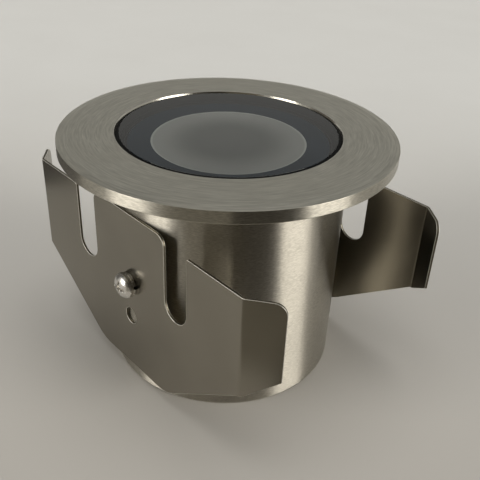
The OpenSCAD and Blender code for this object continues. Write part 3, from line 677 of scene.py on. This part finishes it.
sinkFinish = brushedTurnedSteel("sinkAluminium", {
    "dark": (0.55, 0.55, 0.55), "light": (0.74, 0.74, 0.75), "touched": (0.6, 0.6, 0.6),
    "wornAndHighlight": (0.88, 0.88, 0.89), "roughness": (0.3, 0.42), "anisotropy": 0.4, "lines": 2400.0,
    "streaks": 5.0, "banding": 0.3, "touch": 0.2, "wearAndHighlight": 0.7, "bump": 0.15})
glassLook = {
    "dark": (0.95, 0.97, 0.97), "light": (0.98, 0.99, 0.99), "shadow": (0.92, 0.94, 0.94),
    "smear": 0.015, "dust": 0.04, "roughness": 0.008, "bump": 0.01, "bending": 1.5}
glassFinish = clearGlass("clearGlass", glassLook)
coatedFinish = clearGlass("clearGlassCoated", {**glassLook, "bending": 1.0, "dust": 0.0})
# the dark middle is painted shade, the edge colour a painted highlight
discFinish = frostedDisc("frostedDisc", {
    "middle": (0.11, 0.109, 0.1), "rim": (0.275, 0.272, 0.25), "grain": (0.2, 0.195, 0.18),
    "paintedEdgeHighlight": (0.4, 0.4, 0.375), "roughness": (0.52, 0.58), "shadeInnerRadius": 9.0,
    "shadeOuterRadius": 22.8, "highlightFrom": 22.4, "highlightTo": 22.9})
maskFinish = mouldedStuff("blackMask", {
    "dark": (0.001, 0.009, 0.018), "light": (0.003, 0.014, 0.026), "wornAndHighlight": (0.02, 0.022, 0.026),
    "roughness": (0.5, 0.55), "skin": 1200.0, "drift": 90.0, "wearAndHighlight": 0.2, "bump": 0.01,
    "dust": 0.0, "gloss": 0.06})
reflectorFinish = mouldedStuff("whiteReflector", {
    "dark": (0.62, 0.62, 0.6), "light": (0.72, 0.72, 0.7), "wornAndHighlight": (0.5, 0.5, 0.48),
    "roughness": (0.25, 0.4), "skin": 1500.0, "drift": 60.0, "wearAndHighlight": 0.3, "bump": 0.12})
boardFinish = mouldedStuff("whiteBoard", {
    "dark": (0.66, 0.66, 0.63), "light": (0.76, 0.76, 0.73), "wornAndHighlight": (0.55, 0.5, 0.38),
    "roughness": (0.3, 0.42), "skin": 2200.0, "drift": 130.0, "wearAndHighlight": 0.5, "bump": 0.1})
ledFinish = mouldedStuff("ledYellow", {
    "dark": (0.75, 0.55, 0.08), "light": (0.85, 0.66, 0.14), "wornAndHighlight": (0.9, 0.8, 0.5),
    "roughness": (0.15, 0.25), "skin": 2600.0, "drift": 300.0, "wearAndHighlight": 0.2, "bump": 0.06})
padFinish = mouldedStuff("greyPad", {
    "dark": (0.3, 0.3, 0.31), "light": (0.4, 0.4, 0.41), "wornAndHighlight": (0.25, 0.25, 0.26),
    "roughness": (0.7, 0.85), "skin": 1800.0, "drift": 150.0, "wearAndHighlight": 0.3, "bump": 0.3})
rubberFinish = mouldedStuff("blackRubber", {
    "dark": (0.012, 0.012, 0.013), "light": (0.024, 0.024, 0.025), "wornAndHighlight": (0.05, 0.05, 0.05),
    "roughness": (0.5, 0.68), "skin": 2600.0, "drift": 120.0, "wearAndHighlight": 0.4, "bump": 0.25, "dust": 0.15})
sealFinish = mouldedStuff("blackSeal", {
    "dark": (0.003, 0.003, 0.003), "light": (0.006, 0.006, 0.006), "wornAndHighlight": (0.02, 0.02, 0.02),
    "roughness": (0.5, 0.68), "skin": 2600.0, "drift": 120.0, "wearAndHighlight": 0.6, "bump": 0.15,
    "dust": 0.0, "gloss": 0.12})
plasticFinish = mouldedStuff("blackPlastic", {
    "dark": (0.018, 0.018, 0.02), "light": (0.034, 0.034, 0.036), "wornAndHighlight": (0.08, 0.08, 0.08),
    "roughness": (0.35, 0.5), "skin": 3200.0, "drift": 110.0, "wearAndHighlight": 0.4, "bump": 0.25})
slipFinish = mouldedStuff("whitePlastic", {
    "dark": (0.66, 0.65, 0.62), "light": (0.76, 0.75, 0.72), "wornAndHighlight": (0.6, 0.58, 0.54),
    "roughness": (0.3, 0.45), "skin": 2400.0, "drift": 140.0, "wearAndHighlight": 0.4, "bump": 0.12})
terminalFinish = mouldedStuff("greenPlastic", {
    "dark": (0.03, 0.22, 0.1), "light": (0.05, 0.3, 0.14), "wornAndHighlight": (0.12, 0.38, 0.22),
    "roughness": (0.3, 0.42), "skin": 2600.0, "drift": 150.0, "wearAndHighlight": 0.4, "bump": 0.15})
driverBoardFinish = mouldedStuff("greenBoard", {
    "dark": (0.01, 0.09, 0.035), "light": (0.02, 0.15, 0.06), "wornAndHighlight": (0.45, 0.36, 0.16),
    "roughness": (0.25, 0.36), "skin": 1800.0, "drift": 260.0, "wearAndHighlight": 0.6, "bump": 0.2})
ferriteFinish = mouldedStuff("ferrite", {
    "dark": (0.035, 0.034, 0.036), "light": (0.06, 0.058, 0.06), "wornAndHighlight": (0.11, 0.11, 0.11),
    "roughness": (0.4, 0.6), "skin": 1700.0, "drift": 200.0, "wearAndHighlight": 0.6, "bump": 0.35})
sleeveFinish = mouldedStuff("capacitorSleeve", {
    "dark": (0.012, 0.018, 0.05), "light": (0.02, 0.03, 0.08), "wornAndHighlight": (0.06, 0.07, 0.14),
    "roughness": (0.22, 0.34), "skin": 1500.0, "drift": 120.0, "wearAndHighlight": 0.4, "bump": 0.1})
leadFinish = mouldedStuff("leadWire", {
    "dark": (0.35, 0.02, 0.015), "light": (0.45, 0.035, 0.025), "wornAndHighlight": (0.6, 0.12, 0.1),
    "roughness": (0.35, 0.45), "skin": 2200.0, "drift": 200.0, "wearAndHighlight": 0.3, "bump": 0.12})
print("finishes built")


# turned pieces: corners are (radius, height, fillet) and sometimes a share of wear and painted highlight, in
# millimetres

can = {
    "segments": 224,
    "corners": [
        (6.1, 17.5, 0.2), (33.4, 17.5, 0.5), (33.4, 0.6, 0.25), (34.0, 0.0, 0.25), (35.6, 0.0, 0.3),
        (36.2, 0.6, 0.3), (36.2, 70.9, 0.15), (34.7, 70.9, 0.1), (34.7, 61.9, 0.1), (33.4, 61.9, 0.1),
        (33.4, 21.0, 0.4), (6.1, 21.0, 0.2)],
    "thread": {"radius": 34.7, "from": 62.5, "to": 70.6, "pitch": 1.0, "depth": -0.3}}
turnedPiece("can", can, [canFinish], "housing", ["can"])

bezelRing = {
    "segments": 256, "chamferRadius": 33.66, "chamferHeight": 74.9,
    "corners": [
        # the inner top edge's share of 0.9 paints a highlight line round the window, partly real wear
        (33.34, 74.95, 0.03, 0.0), (33.62, 75.5, 0.06, 0.9), (47.8, 75.5, 0.2, 0.12),
        (50.0, 75.05, 0.1, 0.0), (50.0, 71.65, 0.1, 0.2), (49.75, 71.4, 0.1, 0.2),
        (36.85, 71.4, 0.1), (36.85, 71.7, 0.1), (34.64, 71.7, 0.1), (34.64, 62.9, 0.25),
        (30.54, 62.9, 0.15), (30.54, 64.4, 0.1), (33.34, 64.4, 0.15)],
    "thread": {"radius": 34.64, "from": 63.3, "to": 71.4, "pitch": 1.0, "depth": 0.35}}
bezelFinishes = [bezelFinish, rimFinish, chamferFinish]
bezelPiece = turnedPiece("bezelRing", bezelRing, bezelFinishes, "bezel", ["bezel_ring"])
for face in bezelPiece.data.polygons:
    inner = Vector(face.center[:2]).length < bezelRing["chamferRadius"] * mm
    chamfer = inner and face.center.z > bezelRing["chamferHeight"] * mm
    upright = abs(face.normal.z) < 0.5
    face.material_index = 2 if chamfer else 1 if upright else 0

bezelGasket = {
    "corners": [(34.7, 70.9, 0.2), (35.95, 70.9, 0.2), (35.95, 71.7, 0.2), (34.7, 71.7, 0.2)]}
turnedPiece(
    "bezelGasket", bezelGasket, [rubberFinish], "bezel_gasket", ["bezel_gasket"])

windowGlass = {
    "segments": 224, "closed": False,
    "corners": [
        (0.0, 75.3, 0), (32.3, 75.3, 0.02), (32.86, 74.74, 0.02), (32.86, 65.65, 0.05),
        (32.71, 65.5, 0.05), (0.0, 65.5, 0)]}
glassPiece = turnedPiece(
    "windowGlass", windowGlass, [glassFinish, coatedFinish], "bezel", ["glass"])
for face in glassPiece.data.polygons:
    face.material_index = 0 if face.normal.z > 0.99 else 1  # bonded below and at the side

windowSeal = {
    "segments": 224,
    "corners": [
        (30.54, 64.4, 0.2), (33.34, 64.4, 0.15), (33.34, 74.72, 0.05), (32.33, 75.27, 0.02),
        (32.87, 74.72, 0.05), (32.84, 65.6, 0.1), (32.64, 65.42, 0.1), (30.54, 65.42, 0.3)]}
turnedPiece("windowSeal", windowSeal, [sealFinish], "bezel", ["glass_seal"])

maskRing = {
    "segments": 192,
    "corners": [(23.2, 64.95, 0.1), (30.14, 64.95, 0.1), (30.14, 65.45, 0.1), (23.2, 65.45, 0.1)]}
turnedPiece("maskRing", maskRing, [maskFinish], "housing", ["mask_ring"])

frostedLens = {
    "segments": 160, "closed": False,
    "corners": [(0.0, 64.95, 0), (26.04, 64.95, 0.3), (26.04, 62.75, 0.3), (0.0, 62.75, 0)]}
turnedPiece("frostedLens", frostedLens, [discFinish], "housing", ["diffuser"])
print("turned pieces made")


# screws: the recess is in shares of the thread, the head and its edge

recessShares = {"armWidth": 0.27, "armLength": 0.56, "depth": 0.62, "seat": 0.9}


def screwMesh(look):
    # profile from the dome's middle down to the tip, threaded below the head
    head, height, shank = look["headWidth"] / 2, look["headHeight"], look["thread"] / 2
    edge = height / 4
    turns = [math.radians(angle) for angle in range(0, 88, 3)]
    dome = [(head * math.sin(turn), edge + (height - edge) * math.cos(turn), 0) for turn in turns]
    corners = dome + [
        (head, edge, 0.12), (head, 0.0, 0.1), (shank, 0.0, 0.08), (shank, -look["length"] + 0.4, 0.05),
        (shank - 0.4, -look["length"], 0.1), (0.0, -look["length"], 0)]
    profile = profileMesh({
        "corners": corners, "closed": False,
        "thread": {"radius": shank, "from": -look["length"] + 0.3, "to": -0.3, "pitch": look["pitch"]}})
    turned = {
        "Segments": look["segments"], "Thread Pitch": look["pitch"] * mm,
        "Thread Depth": look["pitch"] * 0.5 * mm}
    recess = {
        "Arm Width": look["thread"] * recessShares["armWidth"] * mm,
        "Arm Length": look["headWidth"] * recessShares["armLength"] * mm,
        "Recess Depth": height * recessShares["depth"] * mm,
        "Seat Height": edge * recessShares["seat"] * mm}
    mesh = runTree(profile, turnedPartTree, turned, [(crossRecessTree, recess)])
    tidyMesh(mesh, 50)
    return mesh


wallPair = {
    "Count": 2, "Height": 36.0 * mm, "First Angle": -math.pi / 2, "Tilt": math.pi / 2,
    "Turn": math.pi / 2}
bracketScrew = {
    "thread": 4.0, "pitch": 0.7, "headWidth": 8.0, "headHeight": 2.9, "length": 8.0, "seat": 38.2,
    "segments": 112}
wallScrews = runTree(screwMesh(bracketScrew), repeatTree, {
    "Circle Radius": bracketScrew["seat"] * mm, **wallPair})
addPiece("bracketScrews", wallScrews, [screwFinish], "housing", ["bracket_screws"])

innerScrew = {"thread": 3.0, "pitch": 0.5, "headWidth": 5.2, "headHeight": 1.8, "segments": 48}
boardScrew = {**innerScrew, "length": 6.3, "circle": 19.0, "height": 51.95, "angle": 30}
sinkScrew = {**innerScrew, "length": 8.9, "circle": 29.0, "height": 46.55, "angle": 0}
driverScrew = {**innerScrew, "length": 4.6, "circle": 20.0, "height": 32.0, "angle": 0}
for pieceName, node, look in (
        ("boardScrews", "board_screws", boardScrew), ("sinkScrews", "sink_screws", sinkScrew),
        ("driverScrews", "driver_screws", driverScrew)):
    screws = runTree(screwMesh(look), repeatTree, {
        "Count": 3, "Circle Radius": look["circle"] * mm, "Height": look["height"] * mm,
        "First Angle": math.radians(look["angle"])})
    addPiece(pieceName, screws, [innerFinish], "housing", [node])

springWasher = {
    "middleRadius": 2.95, "width": 1.65, "height": 0.92, "rise": 0.1, "turns": 0.955, "seat": 37.6}
washer = runTree(bpy.data.meshes.new("washer"), springWasherTree, {
    "Middle Radius": springWasher["middleRadius"] * mm, "Bar Width": springWasher["width"] * mm,
    "Bar Height": springWasher["height"] * mm, "Rise": springWasher["rise"] * mm,
    "Turns": springWasher["turns"]})
tidyMesh(washer)
washers = runTree(washer, repeatTree, {
    "Circle Radius": springWasher["seat"] * mm, **wallPair})
addPiece("springWashers", washers, [screwFinish], "housing", ["lock_washers"])
print("screws and washers made")


ledPackage = {"width": 3.2, "height": 0.8, "lens": 2.6, "edge": 0.15, "ring": 5.5, "count": 6, "seat": 50.55}


def ledMesh(look):
    shell = bmesh.new()
    bmesh.ops.create_cube(shell, size=1.0)
    size = (look["width"] * mm, look["width"] * mm, look["height"] * mm)
    bmesh.ops.scale(shell, verts=shell.verts, vec=size)
    bmesh.ops.translate(shell, verts=shell.verts, vec=(0, 0, look["height"] / 2 * mm))
    bmesh.ops.bevel(shell, geom=shell.edges, offset=look["edge"] * mm, segments=2, affect="EDGES")
    lens = bmesh.ops.create_uvsphere(shell, u_segments=24, v_segments=14, radius=look["lens"] / 2 * mm)
    bmesh.ops.translate(shell, verts=lens["verts"], vec=(0, 0, look["height"] * mm))
    mesh = meshFrom(shell, "led")
    tidyMesh(mesh)
    return mesh


leds = runTree(ledMesh(ledPackage), repeatTree, {
    "Count": ledPackage["count"], "Middle Items": 1, "Circle Radius": ledPackage["ring"] * mm,
    "Height": ledPackage["seat"] * mm})
addPiece("leds", leds, [ledFinish], "housing", ["leds"])


# folded and moulded pieces, from the CAD shapes with rounded edges

bracket = {"edgeRounding": 0.12, "tipAngle": 38.0, "foldStart": 48.05, "foldEnd": 48.7}


def sheetEdge(face):
    # 1 on the cut edges of a bracket, 0 on its two faces, which turn with the fold
    past = abs(face.center.x) / mm - bracket["foldStart"]
    side = max(0.0, min(1.0, past / (bracket["foldEnd"] - bracket["foldStart"])))
    angle = math.radians(bracket["tipAngle"]) * side * (1 if face.center.x > 0 else -1)
    angle *= -1 if face.center.y > 0 else 1
    across = Vector((math.sin(angle), -math.cos(angle), 0.0))
    return 1.0 if abs(face.normal.dot(across)) < 0.6 else 0.0


for pieceName, node, body in (("frontBracket", "front_bracket", "front_spring"),
                              ("rearBracket", "rear_bracket", "rear_spring")):
    softenedCopy(pieceName, node, springFinish, body, bracket["edgeRounding"], sheetEdge)

softened = [
    ("reflector", "reflector", reflectorFinish, "white_reflector", 0.15),
    ("ledBoard", "led_board", boardFinish, "white_board", 0.12),
    ("thermalPad", "thermal_pad", padFinish, "grey_pad", 0.05),
    ("heatSink", "heat_sink", sinkFinish, "sink_aluminium", 0.3),
    ("pillars", "pillars", pillarFinish, "brass_pillar", 0.2),
    ("weldNuts", "weld_nuts", innerFinish, "inner_steel", 0.15),
    ("driverTray", "driver_tray", plasticFinish, "black_plastic", 0.2),
    ("driverBoard", "driver_board", driverBoardFinish, "green_board", 0.1),
    ("transformer", "transformer", ferriteFinish, "ferrite", 0.25),
    ("capacitors", "capacitors", sleeveFinish, "capacitor_sleeve", 0.4),
    ("controlChips", "control_chips", plasticFinish, "black_plastic", 0.2),
    ("terminalBlock", "terminal_block", terminalFinish, "green_plastic", 0.2),
    ("ledLeads", "led_leads", leadFinish, "lead_wire", 0.1),
    ("glandBody", "gland_body", glandFinish, "gland_metal", 0.2),
    ("glandWasher", "gland_washer", rubberFinish, "black_rubber", 0.15),
    ("glandLockNut", "gland_lock_nut", glandFinish, "gland_metal", 0.3),
    ("glandBush", "gland_bush", rubberFinish, "black_rubber", 0.25)]
for pieceName, node, finish, slot, edge in softened:
    softenedCopy(pieceName, node, finish, "housing", edge)
softenedCopy("glandSlipRing", "gland_slip_ring", slipFinish, "slip_ring", 0.15)
softenedCopy("glandCapNut", "gland_cap_nut", glandFinish, "cap_nut", 0.25)
print("softened pieces made")


# stage, lamps and camera

camera = {
    "place": (0.141084, -0.124821, 0.150717),
    "right": (0.662917, 0.747649, 0.039518),
    "down": (0.407648, -0.316169, -0.856656),
    "forward": (-0.627984, 0.584002, -0.514372),
    "focalPixels": 677.08, "frame": 480.0, "principalDrop": -1.0, "sensor": 36.0}


def addCamera(look):
    data = bpy.data.cameras.new("studioCamera")
    data.sensor_width = look["sensor"]
    data.lens = look["focalPixels"] / look["frame"] * look["sensor"]
    data.shift_y = look["principalDrop"] / look["frame"]
    data.clip_start = 0.01
    eye = bpy.data.objects.new("studioCamera", data)
    right, down, ahead = (Vector(look[key]) for key in ("right", "down", "forward"))
    turn = Matrix((right, -down, -ahead)).transposed().to_4x4()
    eye.matrix_world = Matrix.Translation(look["place"]) @ turn
    scene.collection.objects.link(eye)
    scene.camera = eye


warmLight = {"elevation": 15.0, "colour": (1.0, 0.965, 0.9)}
leftSoftbox = {**warmLight, "azimuth": -103.5, "distance": 3.2, "width": 1.4, "height": 1.9, "radiance": 6.2}
rightSoftbox = {**warmLight, "azimuth": 24.0, "distance": 3.2, "width": 1.66, "height": 1.9, "radiance": 6.0}
leftFill = {**warmLight, "azimuth": -103.5, "spread": 28.0, "strength": 1.6}
rightFill = {**warmLight, "azimuth": 24.0, "spread": 28.0, "strength": 1.85}
skylight = {
    "azimuth": 0.0, "elevation": 90.0, "spread": 44.0, "strength": 0.92, "colour": (1.0, 0.99, 0.966)}


def aimLamp(lamp, look, distance):
    azimuth, elevation = math.radians(look["azimuth"]), math.radians(look["elevation"])
    level = math.cos(elevation)
    aim = Vector((math.cos(azimuth) * level, math.sin(azimuth) * level, math.sin(elevation)))
    lamp.location = aim * distance
    lamp.rotation_euler = aim.to_track_quat("Z", "Y").to_euler()
    scene.collection.objects.link(lamp)


def addSoftbox(name, look, receivers):
    # seen by the metal only; the window is left out, so that it stays clear from every side
    data = bpy.data.lights.new(name, "AREA")
    data.shape = "RECTANGLE"
    data.size, data.size_y = look["width"], look["height"]
    data.energy = look["radiance"] * math.pi * look["width"] * look["height"]
    data.color = look["colour"]
    lamp = bpy.data.objects.new(name, data)
    lamp.visible_diffuse = False
    lamp.light_linking.receiver_collection = receivers
    aimLamp(lamp, look, look["distance"])


def addSoftLight(name, look):
    # even light for the dull surfaces, left out of the reflections
    data = bpy.data.lights.new(name, "SUN")
    data.angle = math.radians(look["spread"])
    data.energy = look["strength"]
    data.color = look["colour"]
    lamp = bpy.data.objects.new(name, data)
    lamp.visible_camera = lamp.visible_glossy = lamp.visible_transmission = False
    aimLamp(lamp, look, 2.0)


# the near colour is painted shade round the object, the far colour painted light away from it
floorLook = {
    "radius": 14.0, "near": (0.445, 0.424, 0.392), "far": (0.65, 0.645, 0.622),
    "awayFromCamera": (-0.732, 0.681, 0.0), "behind": (-0.12, 0.32), "around": (0.45, 1.4),
    "clouds": 0.06}


def floorMaterial(look):
    # painted light and shade: darker near the object and on the camera's side, paler away from the camera
    # and far round it, with faint clouds
    material, tree, shader, coords = startMaterial("paleFloor")
    away = addNode(tree, "ShaderNodeVectorMath", {
        0: coords, 1: look["awayFromCamera"]}, operation="DOT_PRODUCT").outputs["Value"]
    reach = addNode(tree, "ShaderNodeVectorMath", {0: coords}, operation="LENGTH").outputs["Value"]
    far = calc(tree, "MAXIMUM", easeIn(tree, away, *look["behind"]), easeIn(tree, reach, *look["around"]))
    clouds = remap(tree, noise(tree, coords, 14.0, 3.0), 0.35, 0.65)
    colour = mixColour(tree, far, look["near"], look["far"])
    colour = mixColour(tree, times(tree, clouds, look["clouds"]), colour, look["near"])
    feed(tree, shader, {"Base Color": colour, "Roughness": 0.6, "Specular IOR Level": 0.0})
    bumpFrom(tree, shader, noise(tree, coords, 900.0, 2.0), 0.05, 0.1)
    return material


def addFloor(look):
    shell = bmesh.new()
    bmesh.ops.create_circle(shell, cap_ends=True, segments=96, radius=look["radius"])
    mesh = meshFrom(shell, "studioFloor")
    mesh.materials.append(floorMaterial(look))
    floor = bpy.data.objects.new("studioFloor", mesh)
    scene.collection.objects.link(floor)


flagShape = {
    "far": 1.3, "height": 1.5, "roof": 0.3, "lift": 0.0005, "steps": 24,
    "roughness": (0.9, 0.95), "skin": 600.0, "drift": 20.0, "wearAndHighlight": 0.0, "bump": 0.1, "dust": 0.0}
flags = [
    {"name": "darkFlag", "near": 0.062, "from": -38.0, "to": 5.0, "colour": (0.045, 0.039, 0.031)},
    {"name": "duskFlag", "near": 0.1, "from": -78.0, "to": -38.0, "colour": (0.21, 0.193, 0.158)},
    {"name": "sideFlag", "near": 0.16, "from": -178.0, "to": -138.0, "colour": (0.09, 0.085, 0.08)}]


def addFlag(look):
    # a dark studio card lying and standing on the camera's side, seen only in the steel's reflections
    name, steps = look["name"], look["steps"]
    rings = [
        (look["near"], look["lift"]), (look["far"], look["lift"]),
        (look["far"], look["height"]), (look["roof"], look["height"])]
    angles = [look["from"] + (look["to"] - look["from"]) * step / steps for step in range(steps + 1)]
    turns = [(math.cos(math.radians(angle)), math.sin(math.radians(angle))) for angle in angles]
    shell = bmesh.new()
    rows = [
        [shell.verts.new((radius * c, radius * s, height)) for c, s in turns] for radius, height in rings]
    for low, high in zip(rows, rows[1:]):
        for step in range(steps):
            shell.faces.new((low[step], low[step + 1], high[step + 1], high[step]))
    mesh = meshFrom(shell, name)
    colour = look["colour"]
    mesh.materials.append(mouldedStuff(name + "Cloth", {
        **look, "dark": colour, "light": colour, "wornAndHighlight": colour}))
    flag = bpy.data.objects.new(name, mesh)
    scene.collection.objects.link(flag)
    flag.visible_camera = flag.visible_diffuse = flag.visible_shadow = flag.visible_transmission = False


roomLook = {
    "horizon": (0.57, 0.565, 0.54), "wall": (0.36, 0.355, 0.335), "ceiling": (0.235, 0.238, 0.234),
    "zenith": (0.9, 0.89, 0.87),
    "steps": [("wall", 0.0, 0.16), ("ceiling", 0.38, 0.62), ("zenith", 0.88, 0.97)]}


def addWorld(look):
    # the room's colour by height, from the horizon to straight above
    world = bpy.data.worlds.new("studioRoom")
    scene.world = world
    world.use_nodes = True
    tree = world.node_tree
    height = splitVector(tree, addNode(tree, "ShaderNodeTexCoord").outputs["Generated"])[2]
    colour = look["horizon"]
    for name, low, high in look["steps"]:
        colour = mixColour(tree, easeIn(tree, height, low, high), colour, look[name])
    feed(tree, tree.nodes["Background"], {"Color": colour, "Strength": 1.0})


addFloor(floorLook)
for flagLook in flags:
    addFlag({**flagShape, **flagLook})
addWorld(roomLook)
unlitByBoxes = bpy.data.collections.new("unlitByBoxes")
unlitByBoxes.objects.link(bpy.data.objects["windowGlass"])
unlitByBoxes.collection_objects[0].light_linking.link_state = "EXCLUDE"
addSoftLight("skylight", skylight)
addSoftLight("leftFill", leftFill)
addSoftLight("rightFill", rightFill)
addSoftbox("leftSoftbox", leftSoftbox, unlitByBoxes)
addSoftbox("rightSoftbox", rightSoftbox, unlitByBoxes)
addCamera(camera)
scene.view_settings.view_transform = "Standard"
print("stage, lamps and camera set")
